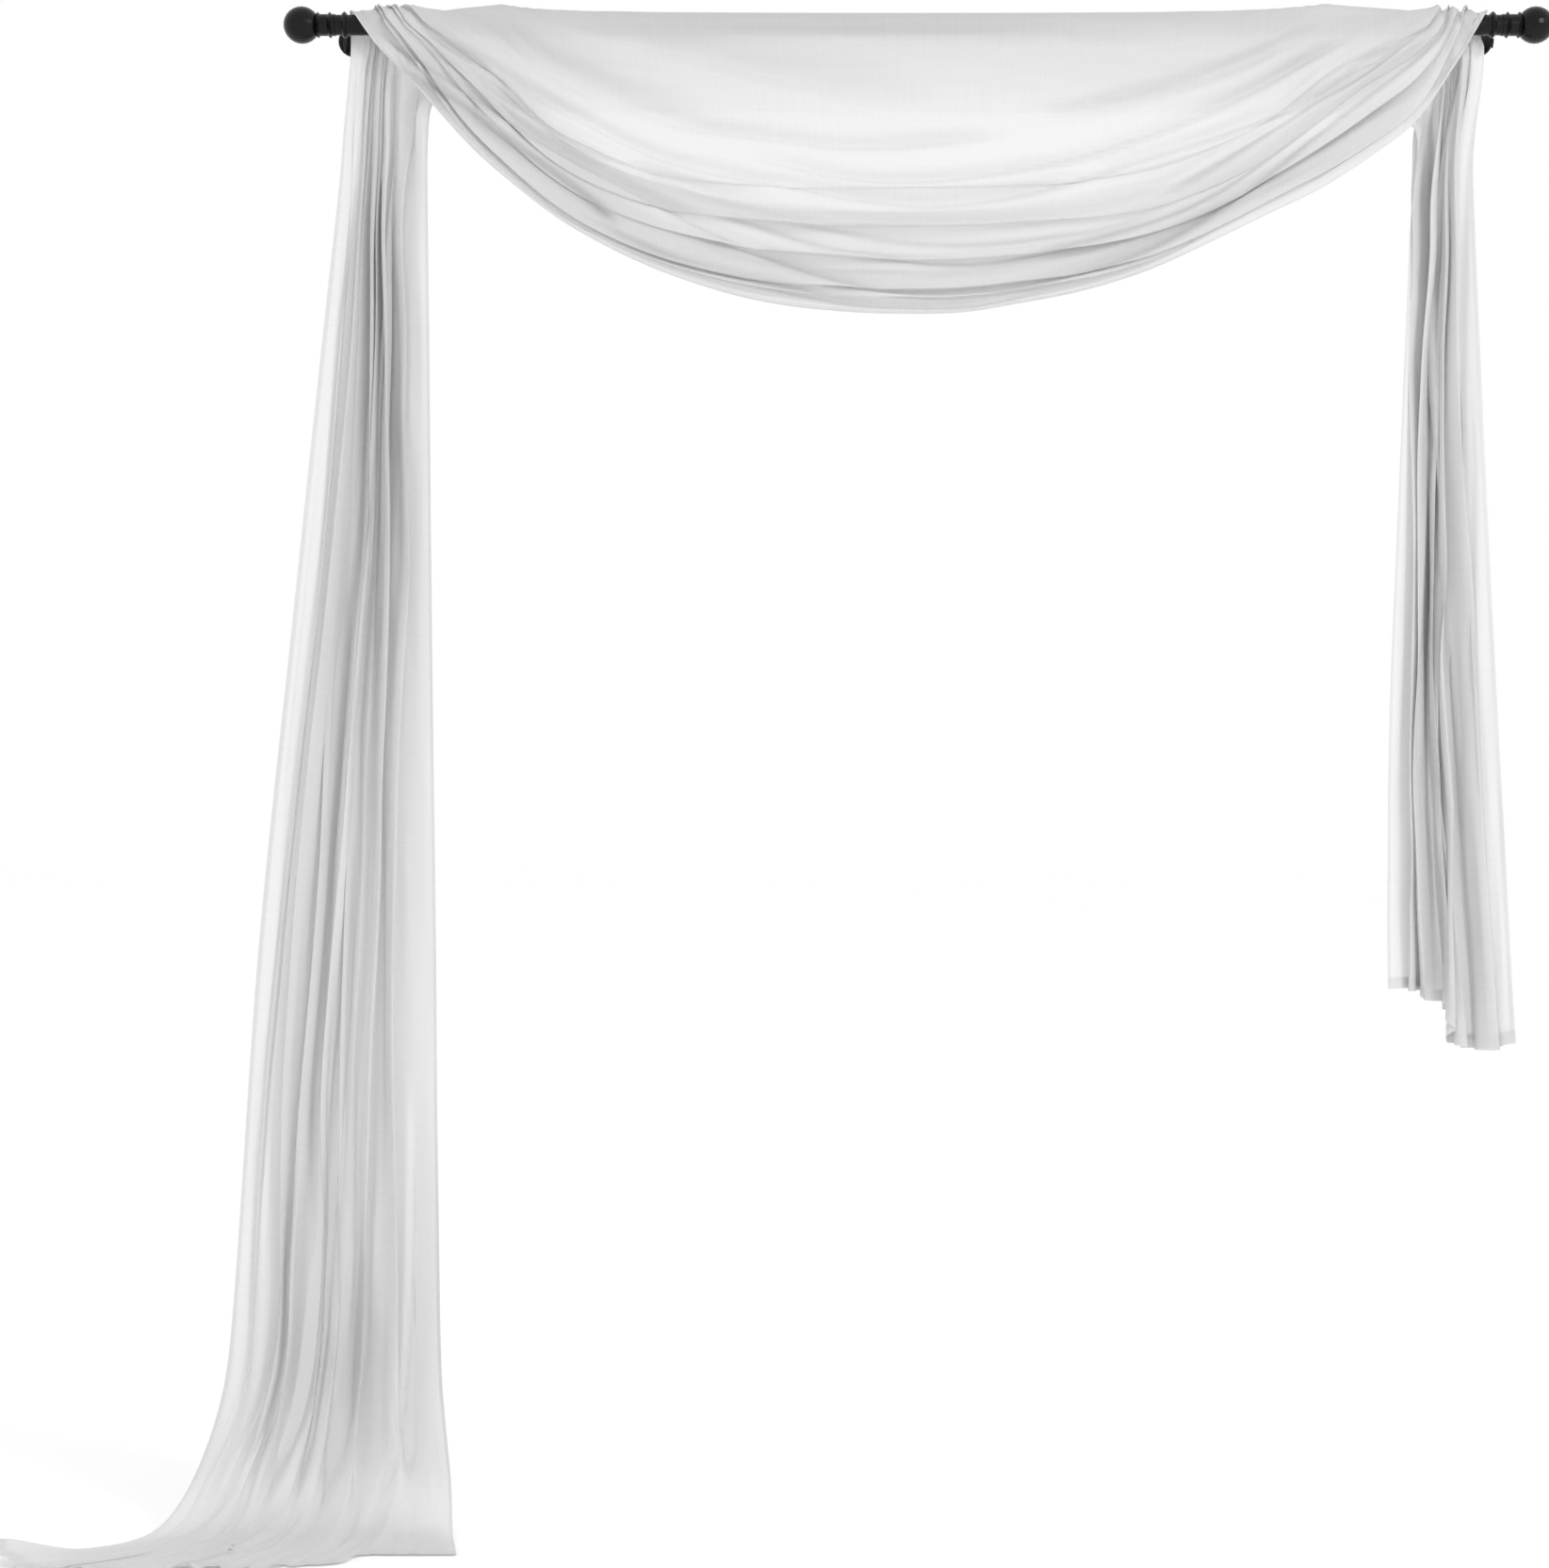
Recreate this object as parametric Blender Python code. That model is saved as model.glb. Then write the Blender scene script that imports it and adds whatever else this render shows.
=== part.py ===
"""A sheer window scarf draped as a valance over a curtain rod with ball finials.

Lengths are metres. +X runs along the rod to the right, +Y points into the wall and +Z is up.
The origin is the middle of the back face of the left bracket's wall plate.
"""

import math
from collections import namedtuple

import bmesh
import bpy

# Rod and brackets
ROD_RADIUS = 0.014
ROD_OFF_WALL = 0.090
BRACKET_SPAN = 1.583
ROD_PAST_BRACKET = 0.0125
SEAT_GAP = 0.0003
FLOOR_Z = -2.077

RING_RADIUS = 0.0185
RING_HALF_WIDTH = 0.003
ARM_RADIUS = 0.004
PLATE_RADIUS = 0.022
PLATE_THICKNESS = 0.004

SCREW_RADIUS = 0.0024
SCREW_TIP_RADIUS = 0.0014
SCREW_LENGTHS = {"left": 0.016, "right": 0.013}

# Finial, measured outwards from the end of the rod
BALL_RADIUS = 0.0252
BALL_CENTRE = 0.0465
NECK_RADIUS = 0.0148
BEAD_RADIUS = 0.0178
BEAD_HALF_WIDTH = 0.0026
BEADS = (0.0075, 0.0240)

# Scarf cloth
CLOTH_WIDTH = 0.94
CLOTH_THICKNESS = 0.0015
WRAP_RADIUS = 0.0164
FLOOR_BEND_RADIUS = 0.065
FLOOR_FOLD_HEIGHT = 0.022
MOST_FOLD_ANGLE = math.radians(91)
TURN_SOFTNESS = 0.3
TURN_PARTS = 12
FOLD_WOBBLE = 0.10
BUNCH_LIFT = 0.003
SWAG_BELLY = 0.022
SWAG_LOOK = 3.0
ROWS_PER_STEP = 2
KEPT_FACES = 0.17

WALL_CURVE = WRAP_RADIUS * math.pi / 2
BEND_TOP_Z = FLOOR_Z + FLOOR_BEND_RADIUS + FLOOR_FOLD_HEIGHT + CLOTH_THICKNESS

# A station is one line straight across the scarf, from its inner selvedge to its outer one.
# A run is the distance from the top of the rod: in front of it above zero, behind it below zero.
# Look says which column of the fold table holds there, and steps how many rows of faces lead to it.
Station = namedtuple("Station", "steps look x_in run_in x_out run_out")
STATIONS = [
    Station(0, 0.0, 0.168, -2.200, -0.452, -2.185),
    Station(1, 0.2, 0.162, -2.160, -0.372, -2.170),
    Station(1, 0.3, 0.156, -2.125, -0.305, -2.150),
    Station(1, 0.4, 0.150, -2.085, -0.260, -2.115),
    Station(2, 0.5, 0.144, -2.030, -0.222, -2.050),
    Station(1, 0.6, 0.137, -1.960, -0.188, -1.970),
    Station(1, 0.7, 0.131, -1.890, -0.168, -1.890),
    Station(1, 0.8, 0.127, -1.760, -0.155, -1.760),
    Station(1, 1.0, 0.123, -1.294, -0.122, -1.294),
    Station(1, 1.0, 0.117, -0.822, -0.073, -0.822),
    Station(1, 1.0, 0.113, -0.380, -0.026, -0.380),
    Station(1, 1.2, 0.111, -0.235, -0.010, -0.235),
    Station(1, 1.4, 0.112, -0.170, -0.004, -0.160),
    Station(1, 1.5, 0.114, -0.155, 0.000, -0.105),
    Station(2, 1.6, 0.117, -0.149, 0.001, -0.064),
    Station(2, 1.7, 0.121, -0.146, 0.007, -0.040),
    Station(3, 1.8, 0.126, -0.144, 0.007, 0.000),
    Station(3, 1.9, 0.134, -0.143, 0.026, 0.032),
    Station(3, 2.0, 0.144, -0.143, 0.062, 0.076),
    Station(3, 2.0, 0.158, -0.143, 0.111, 0.132),
    Station(3, 2.1, 0.182, -0.143, 0.176, 0.200),
    Station(2, 2.2, 0.216, -0.143, 0.238, 0.254),
    Station(2, 2.35, 0.264, -0.143, 0.309, 0.307),
    Station(1, 2.55, 0.334, -0.143, 0.412, 0.361),
    Station(1, 2.75, 0.425, -0.143, 0.515, 0.398),
    Station(1, 2.9, 0.525, -0.143, 0.598, 0.417),
    Station(1, 3.0, 0.640, -0.143, 0.688, 0.427),
    Station(1, 3.0, 0.760, -0.143, 0.766, 0.430),
    Station(1, 3.0, 0.880, -0.143, 0.848, 0.428),
    Station(1, 3.1, 0.985, -0.143, 0.930, 0.415),
    Station(1, 3.2, 1.085, -0.143, 1.012, 0.399),
    Station(1, 3.4, 1.175, -0.143, 1.097, 0.373),
    Station(1, 3.6, 1.250, -0.143, 1.183, 0.335),
    Station(1, 3.8, 1.315, -0.143, 1.265, 0.295),
    Station(1, 3.9, 1.368, -0.143, 1.346, 0.255),
    Station(1, 4.0, 1.410, -0.144, 1.427, 0.202),
    Station(2, 4.0, 1.438, -0.147, 1.470, 0.171),
    Station(3, 4.0, 1.456, -0.152, 1.506, 0.131),
    Station(4, 4.1, 1.466, -0.158, 1.540, 0.078),
    Station(5, 4.2, 1.473, -0.165, 1.564, 0.035),
    Station(5, 4.3, 1.478, -0.172, 1.5765, 0.000),
    Station(4, 4.4, 1.481, -0.182, 1.575, -0.040),
    Station(3, 4.5, 1.482, -0.195, 1.570, -0.085),
    Station(2, 4.6, 1.481, -0.215, 1.562, -0.140),
    Station(1, 4.8, 1.478, -0.252, 1.561, -0.215),
    Station(1, 5.0, 1.473, -0.335, 1.565, -0.325),
    Station(1, 5.0, 1.459, -0.665, 1.580, -0.665),
    Station(1, 5.0, 1.446, -0.980, 1.596, -0.980),
    Station(1, 5.0, 1.443, -1.230, 1.612, -1.230),
    Station(1, 5.0, 1.443, -1.310, 1.617, -1.310),
    Station(1, 5.0, 1.444, -1.357, 1.621, -1.357),
]

# A fold takes its share of the scarf's width. Its other numbers say how full it is beside the rest,
# on the floor, in the left tail, over the rod at the left, in the swag, over the rod at the right
# and in the right tail. Then come how far the cloth between it and the next fold stands off, and how
# far it reaches forward at the left hem and down at the right hem.
Fold = namedtuple("Fold", "share floor tail_left rod_left swag rod_right tail_right lift reach drop")
FOLDS = [
    Fold(0.150, 0.60, 0.86, 0.90, 0.06, 0.90, 0.80, 0.000, 0.000, 0.000),
    Fold(0.180, 0.95, 1.02, 0.80, 0.12, 0.85, 1.05, 0.000, 0.045, 0.004),
    Fold(0.105, 1.00, 0.90, 0.90, 0.62, 0.75, 1.00, 0.012, 0.105, 0.018),
    Fold(0.125, 0.90, 1.05, 1.00, 0.98, 1.00, 0.92, 0.002, 0.080, 0.032),
    Fold(0.100, 1.05, 0.95, 1.05, 0.90, 0.90, 1.05, 0.014, 0.115, 0.080),
    Fold(0.145, 1.00, 1.04, 0.95, 1.05, 1.10, 1.02, 0.000, 0.085, 0.088),
    Fold(0.075, 0.95, 1.00, 1.05, 0.90, 1.05, 1.00, 0.010, 0.105, 0.088),
    Fold(0.120, 0.60, 0.80, 0.40, 0.55, 0.35, 0.80, 0.000, 0.050, 0.078),
]

# How deep the folds stand and how far they lean over each other, by the run from the rod's top
Lay = namedtuple("Lay", "run depth lean")
LAYS = [
    Lay(-2.160, 0.20, 1.20),
    Lay(-2.080, 0.20, 1.10),
    Lay(-1.980, 0.42, 1.00),
    Lay(-1.700, 0.72, 0.90),
    Lay(-0.350, 0.75, 0.90),
    Lay(-0.140, 0.55, 1.10),
    Lay(-0.030, 0.30, 1.30),
    Lay(0.030, 0.30, 1.70),
    Lay(0.160, 0.50, 1.40),
    Lay(0.430, 0.62, 1.20),
]


def blend_rows(rows, knots, place, column):
    """The value of one column at a place between the rows, on a smooth curve through them."""
    last = len(rows) - 1
    first = max(i for i in range(last) if knots[i] <= place or i == 0)
    low, high = knots[first], knots[first + 1]
    values = [getattr(rows[i], column) for i in (first, first + 1)]

    def slope(i):
        before, after = max(i - 1, 0), min(i + 1, last)
        rise = getattr(rows[after], column) - getattr(rows[before], column)
        return rise / (knots[after] - knots[before])

    u = (place - low) / (high - low)
    span = high - low
    start = (2 * u**3 - 3 * u**2 + 1) * values[0] + (u**3 - 2 * u**2 + u) * span * slope(first)
    end = (3 * u**2 - 2 * u**3) * values[1] + (u**3 - u**2) * span * slope(first + 1)
    return start + end


def straight_rows(rows, key, place, column):
    """The value of one column at a place between the rows, on straight lines through them."""
    place = min(max(place, getattr(rows[0], key)), getattr(rows[-1], key))
    for low, high in zip(rows, rows[1:]):
        if place <= getattr(high, key):
            break
    share = (place - getattr(low, key)) / (getattr(high, key) - getattr(low, key))
    share = share * share * (3 - 2 * share)
    return getattr(low, column) * (1 - share) + getattr(high, column) * share


def station_knots():
    """How far along the scarf each station lies, halfway between its selvedges."""
    knots = [0.0]
    for before, after in zip(STATIONS, STATIONS[1:]):
        inner = math.hypot(after.x_in - before.x_in, after.run_in - before.run_in)
        outer = math.hypot(after.x_out - before.x_out, after.run_out - before.run_out)
        knots.append(knots[-1] + (inner + outer) / 2)
    return knots


def turn_shape(part):
    """The direction of the cloth through one fold, from -1 to 1: a sine with flattened sides."""
    wave = math.sin(2 * math.pi * part)
    return wave * math.sqrt(1 + TURN_SOFTNESS**2) / math.sqrt(wave**2 + TURN_SOFTNESS**2)


TURN = [turn_shape((i + 0.5) / TURN_PARTS) for i in range(TURN_PARTS)]


def fullness(look):
    """How full each fold is, blended between the two columns of the fold table beside look."""
    columns = ("floor", "tail_left", "rod_left", "swag", "rod_right", "tail_right")
    first = min(int(look), len(columns) - 2)
    share = look - first
    share = share * share * (3 - 2 * share)
    return [getattr(f, columns[first]) * (1 - share) + getattr(f, columns[first + 1]) * share for f in FOLDS]


def chord(angles):
    """How wide the folded cloth is for these fold angles."""
    return sum(
        CLOTH_WIDTH * fold.share * sum(math.cos(angle * turn) for turn in TURN) / TURN_PARTS
        for fold, angle in zip(FOLDS, angles)
    )


def fold_angles(look, width, place):
    """The angles that draw the whole cloth in to this width, in the fold table's proportions."""
    full = [f * (1 + FOLD_WOBBLE * math.sin(2.4 * i + 5.0 * place)) for i, f in enumerate(fullness(look))]
    low, high = 0.0, 2.2
    for _ in range(30):
        middle = (low + high) / 2
        angles = [min(middle * f, MOST_FOLD_ANGLE) for f in full]
        if chord(angles) > width:
            low = middle
        else:
            high = middle
    return angles


def folded_line(look, width, place):
    """Points (across, out, part, middle) of the folded cloth at a station.

    Across runs from 0 to 1, and middle is where the point's own fold has its middle. Out is in metres.
    """
    angles = fold_angles(look, width, place)
    total = chord(angles)
    across = out = part = lift_before = 0.0
    points = [(0.0, 0.0, 0.0, 0.0)]
    for fold, angle in zip(FOLDS, angles):
        length = CLOTH_WIDTH * fold.share / TURN_PARTS
        steps = [(length * math.cos(angle * turn), length * math.sin(angle * turn)) for turn in TURN]
        middle = across + sum(x for x, _ in steps) / 2
        for i, (x, rise) in enumerate(steps):
            across += x
            out = max(out + rise, 0.0)
            part += fold.share / TURN_PARTS
            lift = lift_before + (fold.lift - lift_before) * (i + 1) / TURN_PARTS
            points.append((across / total, out + lift, part, middle / total))
        lift_before = fold.lift
    return points


def hem_offset(part, column):
    """A hem's reach or drop at a place across the cloth, from the fold table's middles."""
    places = [0.0]
    values = [0.0]
    done = 0.0
    for fold in FOLDS:
        places.append(done + fold.share / 2)
        values.append(getattr(fold, column))
        done += fold.share
    places.append(1.0)
    values.append(values[-1] * 0.4)
    for i in range(len(places) - 1):
        if part <= places[i + 1] or i == len(places) - 2:
            break
    share = (part - places[i]) / (places[i + 1] - places[i])
    share = share * share * (3 - 2 * share)
    return values[i] * (1 - share) + values[i + 1] * share


def hang(x, run, out):
    """The place of the cloth at this run over the rod, standing out from it by out."""
    rod_y = -ROD_OFF_WALL
    if abs(run) < WALL_CURVE:
        angle = run / WRAP_RADIUS
        radius = WRAP_RADIUS + out
        return (x, rod_y - radius * math.sin(angle), radius * math.cos(angle))
    if run > 0:
        return (x, rod_y - WRAP_RADIUS - out, WALL_CURVE - run)
    z = WALL_CURVE + run
    if z > BEND_TOP_Z:
        return (x, rod_y + WRAP_RADIUS + out, z)
    bend_y = rod_y + WRAP_RADIUS - FLOOR_BEND_RADIUS
    angle = min((BEND_TOP_Z - z) / FLOOR_BEND_RADIUS, math.pi / 2)
    forward = max(BEND_TOP_Z - z - FLOOR_BEND_RADIUS * math.pi / 2, 0.0)
    radius = FLOOR_BEND_RADIUS + out
    return (x, bend_y + radius * math.cos(angle) - forward, BEND_TOP_Z - radius * math.sin(angle))


def scarf_row(knots, place):
    """One row of points across the scarf."""
    look, x_in, run_in, x_out, run_out = (
        blend_rows(STATIONS, knots, place, column) for column in Station._fields[1:]
    )
    look = min(max(look, 0.0), 5.0)
    bunched = min(1.3 * abs(look - SWAG_LOOK), 1.0)
    width = math.hypot(x_out - x_in, run_out - run_in)
    at_left_hem = max(1 - place / knots[4], 0.0)
    at_right_hem = max(1 - (knots[-1] - place) / (knots[-1] - knots[-4]), 0.0)
    row = []
    for across, out, part, middle in folded_line(look, width, place):
        run = run_in + (run_out - run_in) * middle
        depth = straight_rows(LAYS, "run", run, "depth")
        lean = straight_rows(LAYS, "run", run, "lean")
        out *= depth
        across += lean * out / width
        x = x_in + (x_out - x_in) * across
        run = run_in + (run_out - run_in) * across
        run -= at_left_hem * hem_offset(part, "reach") + at_right_hem * hem_offset(part, "drop")
        belly = min(max(run / 0.4, 0.0), 1.0)
        out += SWAG_BELLY * belly * belly * (3 - 2 * belly) + BUNCH_LIFT * bunched
        row.append(hang(x, run, out))
    return row


def clear_scene():
    for obj in list(bpy.data.objects):
        bpy.data.objects.remove(obj, do_unlink=True)


def material(name, colour, roughness, metallic=0.0):
    made = bpy.data.materials.new(name)
    made.use_nodes = True
    shader = made.node_tree.nodes["Principled BSDF"]
    shader.inputs["Base Color"].default_value = (*colour, 1.0)
    shader.inputs["Roughness"].default_value = roughness
    shader.inputs["Metallic"].default_value = metallic
    return made


def place_mesh(name, bm, finish, location=(0.0, 0.0, 0.0), parent=None, smooth=40):
    """Turns a bmesh into an object of the scene, round parts shaded smooth."""
    bmesh.ops.recalc_face_normals(bm, faces=bm.faces)
    mesh = bpy.data.meshes.new(name)
    bm.to_mesh(mesh)
    bm.free()
    mesh.shade_smooth()
    mesh.set_sharp_from_angle(angle=math.radians(smooth))
    mesh.materials.append(finish)
    obj = bpy.data.objects.new(name, mesh)
    bpy.context.collection.objects.link(obj)
    obj.location = location
    obj.parent = parent
    return obj


def turned(profile, sides, closed=False):
    """A solid turned about the X axis from (x, radius) points."""
    bm = bmesh.new()
    points = [bm.verts.new((x, 0.0, radius)) for x, radius in profile]
    pairs = list(zip(points, points[1:]))
    if closed:
        pairs.append((points[-1], points[0]))
    edges = [bm.edges.new(pair) for pair in pairs]
    bmesh.ops.spin(
        bm,
        geom=points + edges,
        cent=(0.0, 0.0, 0.0),
        axis=(1.0, 0.0, 0.0),
        angle=2 * math.pi,
        steps=sides,
        use_merge=True,
    )
    bmesh.ops.remove_doubles(bm, verts=bm.verts, dist=1e-6)
    return bm


def make_rod(finish):
    length = BRACKET_SPAN + 2 * ROD_PAST_BRACKET
    bm = turned([(0, 0), (0, ROD_RADIUS), (length, ROD_RADIUS), (length, 0)], sides=36)
    return place_mesh("rod", bm, finish, (-ROD_PAST_BRACKET, -ROD_OFF_WALL, 0.0))


def finial_profile():
    """From the rod's end: a neck with two beads, then a ball."""
    points = [(0.0, 0.0), (0.0, NECK_RADIUS)]
    for bead in BEADS:
        points.append((bead - BEAD_HALF_WIDTH, NECK_RADIUS))
        points.append((bead, BEAD_RADIUS))
        points.append((bead + BEAD_HALF_WIDTH, NECK_RADIUS))
    first = math.pi - math.asin(NECK_RADIUS / BALL_RADIUS)
    turns = 11
    for i in range(turns):
        angle = first * (1 - i / turns)
        points.append((BALL_CENTRE + BALL_RADIUS * math.cos(angle), BALL_RADIUS * math.sin(angle)))
    points.append((BALL_CENTRE + BALL_RADIUS, 0.0))
    return points


def make_finial(side, finish):
    end = ROD_PAST_BRACKET + SEAT_GAP
    if side == "left":
        profile = [(-x, radius) for x, radius in finial_profile()]
        x = -end
    else:
        profile = finial_profile()
        x = BRACKET_SPAN + end
    return place_mesh("finial_" + side, turned(profile, sides=26), finish, (x, -ROD_OFF_WALL, 0.0))


def make_bracket(side, finish):
    """A ring about the rod, an arm back to the wall and a round wall plate, in one piece."""
    x = 0.0 if side == "left" else BRACKET_SPAN
    hole = ROD_RADIUS + SEAT_GAP
    w = RING_HALF_WIDTH
    rim = hole + 0.0018
    ring = turned([(-w, hole), (-w, rim), (0.0, RING_RADIUS), (w, rim), (w, hole)], sides=36, closed=True)
    bracket = place_mesh("bracket_" + side, ring, finish, (x, -ROD_OFF_WALL, 0.0))

    reach = ROD_OFF_WALL - hole - 0.001
    thick = PLATE_THICKNESS
    profile = [
        (0.0, 0.0),
        (0.0, PLATE_RADIUS),
        (thick * 0.6, PLATE_RADIUS),
        (thick, PLATE_RADIUS - 0.003),
        (thick, ARM_RADIUS + 0.004),
        (thick + 0.006, ARM_RADIUS),
        (reach, ARM_RADIUS),
        (reach, 0.0),
    ]
    arm = place_mesh("arm_" + side, turned(profile, sides=24), finish, (x, 0.0, 0.0))
    arm.rotation_euler = (0.0, 0.0, -math.pi / 2)
    arm.hide_render = True
    arm.display_type = "WIRE"

    join = bracket.modifiers.new("join arm", "BOOLEAN")
    join.operation = "UNION"
    join.object = arm
    return bracket


def make_screw(side, finish):
    """The thumb screw that stands below the bracket's ring and pins the rod."""
    x = 0.0 if side == "left" else BRACKET_SPAN
    length = SCREW_LENGTHS[side]
    profile = [
        (0.0, 0.0),
        (0.0, SCREW_RADIUS),
        (length * 0.3, SCREW_RADIUS),
        (length * 0.8, SCREW_TIP_RADIUS),
        (length, SCREW_TIP_RADIUS * 0.7),
        (length, 0.0),
    ]
    top = RING_RADIUS + SEAT_GAP
    screw = place_mesh("screw_" + side, turned(profile, sides=14), finish, (x, -ROD_OFF_WALL, -top))
    screw.rotation_euler = (0.0, math.pi / 2, 0.0)
    return screw


def make_scarf(finish):
    """The one long cloth: left hem on the floor, over the rod, swag, over the rod, right hem."""
    knots = station_knots()
    places = [0.0]
    for i, station in enumerate(STATIONS[1:]):
        rows = station.steps * ROWS_PER_STEP
        for step in range(1, rows + 1):
            places.append(knots[i] + (knots[i + 1] - knots[i]) * step / rows)
    bm = bmesh.new()
    rows = [[bm.verts.new(point) for point in scarf_row(knots, place)] for place in places]
    for low, high in zip(rows, rows[1:]):
        for i in range(len(low) - 1):
            bm.faces.new((low[i], low[i + 1], high[i + 1], high[i]))
    scarf = place_mesh("scarf", bm, finish, smooth=60)
    spare = scarf.modifiers.new("spare faces", "DECIMATE")
    spare.ratio = KEPT_FACES
    cloth = scarf.modifiers.new("cloth", "SOLIDIFY")
    cloth.thickness = CLOTH_THICKNESS
    cloth.offset = 0.0
    return scarf


def main():
    clear_scene()
    voile = material("white voile", (0.86, 0.86, 0.87), 0.75)
    black = material("black enamelled metal", (0.012, 0.012, 0.014), 0.32, 0.6)
    make_rod(black)
    for side in ("left", "right"):
        make_finial(side, black)
        make_bracket(side, black)
        make_screw(side, black)
    make_scarf(voile)


main()
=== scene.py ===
"""A sheer window scarf draped over a black curtain rod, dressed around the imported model.

Lengths are metres. +X runs along the rod to the right, +Y points into the wall and +Z is up.
"""

import math
from collections import namedtuple

import bpy
import numpy as np
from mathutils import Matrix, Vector


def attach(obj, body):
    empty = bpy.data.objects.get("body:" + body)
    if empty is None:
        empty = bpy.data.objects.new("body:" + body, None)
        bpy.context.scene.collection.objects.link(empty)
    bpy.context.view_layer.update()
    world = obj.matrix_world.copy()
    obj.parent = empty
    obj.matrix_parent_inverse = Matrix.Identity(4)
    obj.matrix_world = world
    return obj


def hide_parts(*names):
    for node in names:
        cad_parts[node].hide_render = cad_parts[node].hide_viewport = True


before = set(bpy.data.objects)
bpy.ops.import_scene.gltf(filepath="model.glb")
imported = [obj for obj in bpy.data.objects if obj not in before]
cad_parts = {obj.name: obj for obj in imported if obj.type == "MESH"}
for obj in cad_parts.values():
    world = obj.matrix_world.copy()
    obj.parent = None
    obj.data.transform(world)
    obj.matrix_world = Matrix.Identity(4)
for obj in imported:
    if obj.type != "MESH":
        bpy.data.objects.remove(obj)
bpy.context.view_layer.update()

# Camera
# The picture is taken level and square on to the rod, from four metres in front of it. Its middle
# is left of the middle of the rod, and about halfway between the rod and the floor.
ROD_OFF_WALL = 0.090
CAMERA_DISTANCE = 4.0
PICTURE_MIDDLE_X = 0.5928
PICTURE_MIDDLE_Z = -1.047
PHOTO_HEIGHT = 1664
METRES_PER_PIXEL = 0.0013
SENSOR_HEIGHT = 24.0
FARTHEST_SEEN = 60.0

camera = bpy.data.objects.new("camera", bpy.data.cameras.new("camera"))
camera.location = (PICTURE_MIDDLE_X, -ROD_OFF_WALL - CAMERA_DISTANCE, PICTURE_MIDDLE_Z)
camera.rotation_euler = (math.pi / 2, 0.0, 0.0)
camera.data.sensor_fit = "VERTICAL"
camera.data.sensor_height = SENSOR_HEIGHT
camera.data.lens = SENSOR_HEIGHT * CAMERA_DISTANCE / (PHOTO_HEIGHT * METRES_PER_PIXEL)
camera.data.clip_end = FARTHEST_SEEN
bpy.context.scene.collection.objects.link(camera)
bpy.context.scene.camera = camera
bpy.context.scene.view_settings.view_transform = "Standard"

# Rod, finials, brackets and thumb screws
# A steel tube and cast fittings, sprayed with black enamel and baked. The rod slides through both
# rings, a finial caps each end of it, and a thumb screw under each ring pins it.
ENAMEL_BLACK = "070709"
ENAMEL_ROUGHNESS = 0.24
HANDLED_ROUGHNESS = ENAMEL_ROUGHNESS + 0.12
ENAMEL_IOR = 1.5
ENAMEL_SHINE = 0.22
ORANGE_PEEL_SIZE = 0.0022
ORANGE_PEEL_HEIGHT = 0.00004
HANDLING_SIZE = 0.018


def linear(hex_colour):
    """An sRGB hex colour as linear values, with an alpha of one."""
    values = [int(hex_colour[i : i + 2], 16) / 255 for i in (0, 2, 4)]
    return tuple(v / 12.92 if v <= 0.04045 else ((v + 0.055) / 1.055) ** 2.4 for v in values) + (1.0,)


def add_node(tree, kind, settings=None, **inputs):
    """Adds a node. Settings are its own properties, and an input is a value or another node's socket."""
    node = tree.nodes.new(kind)
    for name, value in (settings or {}).items():
        setattr(node, name, value)
    for name, value in inputs.items():
        key = int(name[1:]) if name[0] == "n" and name[1:].isdigit() else name.replace("_", " ")
        if isinstance(value, bpy.types.NodeSocket):
            tree.links.new(value, node.inputs[key])
        else:
            node.inputs[key].default_value = value
    return node


def new_material(name):
    """An empty material and its tree of nodes."""
    material = bpy.data.materials.new(name)
    material.use_nodes = True
    material.node_tree.nodes.clear()
    return material, material.node_tree


def baked_enamel():
    """Black stoving enamel on steel: to the eye a deep black film that levels almost flat.

    It gives small clear highlights, with a faint orange peel, and handling dulls it in patches.
    """
    material, tree = new_material("baked black enamel")
    place = add_node(tree, "ShaderNodeTexCoord").outputs["Object"]
    peel = add_node(tree, "ShaderNodeTexNoise", Vector=place, Scale=1 / ORANGE_PEEL_SIZE, Detail=2.0)
    handling = add_node(tree, "ShaderNodeTexNoise", Vector=place, Scale=1 / HANDLING_SIZE, Detail=5.0)
    roughness = add_node(
        tree,
        "ShaderNodeMapRange",
        Value=handling.outputs["Fac"],
        From_Min=0.35,
        From_Max=0.75,
        To_Min=ENAMEL_ROUGHNESS,
        To_Max=HANDLED_ROUGHNESS,
    )
    bump = add_node(
        tree,
        "ShaderNodeBump",
        Strength=0.5,
        Distance=ORANGE_PEEL_HEIGHT,
        Height=peel.outputs["Fac"],
    )
    shader = add_node(
        tree,
        "ShaderNodeBsdfPrincipled",
        Base_Color=linear(ENAMEL_BLACK),
        Roughness=roughness.outputs["Result"],
        IOR=ENAMEL_IOR,
        Normal=bump.outputs["Normal"],
    )
    shader.inputs["Specular IOR Level"].default_value = ENAMEL_SHINE
    add_node(tree, "ShaderNodeOutputMaterial", Surface=shader.outputs["BSDF"])
    return material


enamel = baked_enamel()
for name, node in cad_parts.items():
    if name != "scarf":
        for slot in node.material_slots:
            slot.material = enamel

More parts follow.
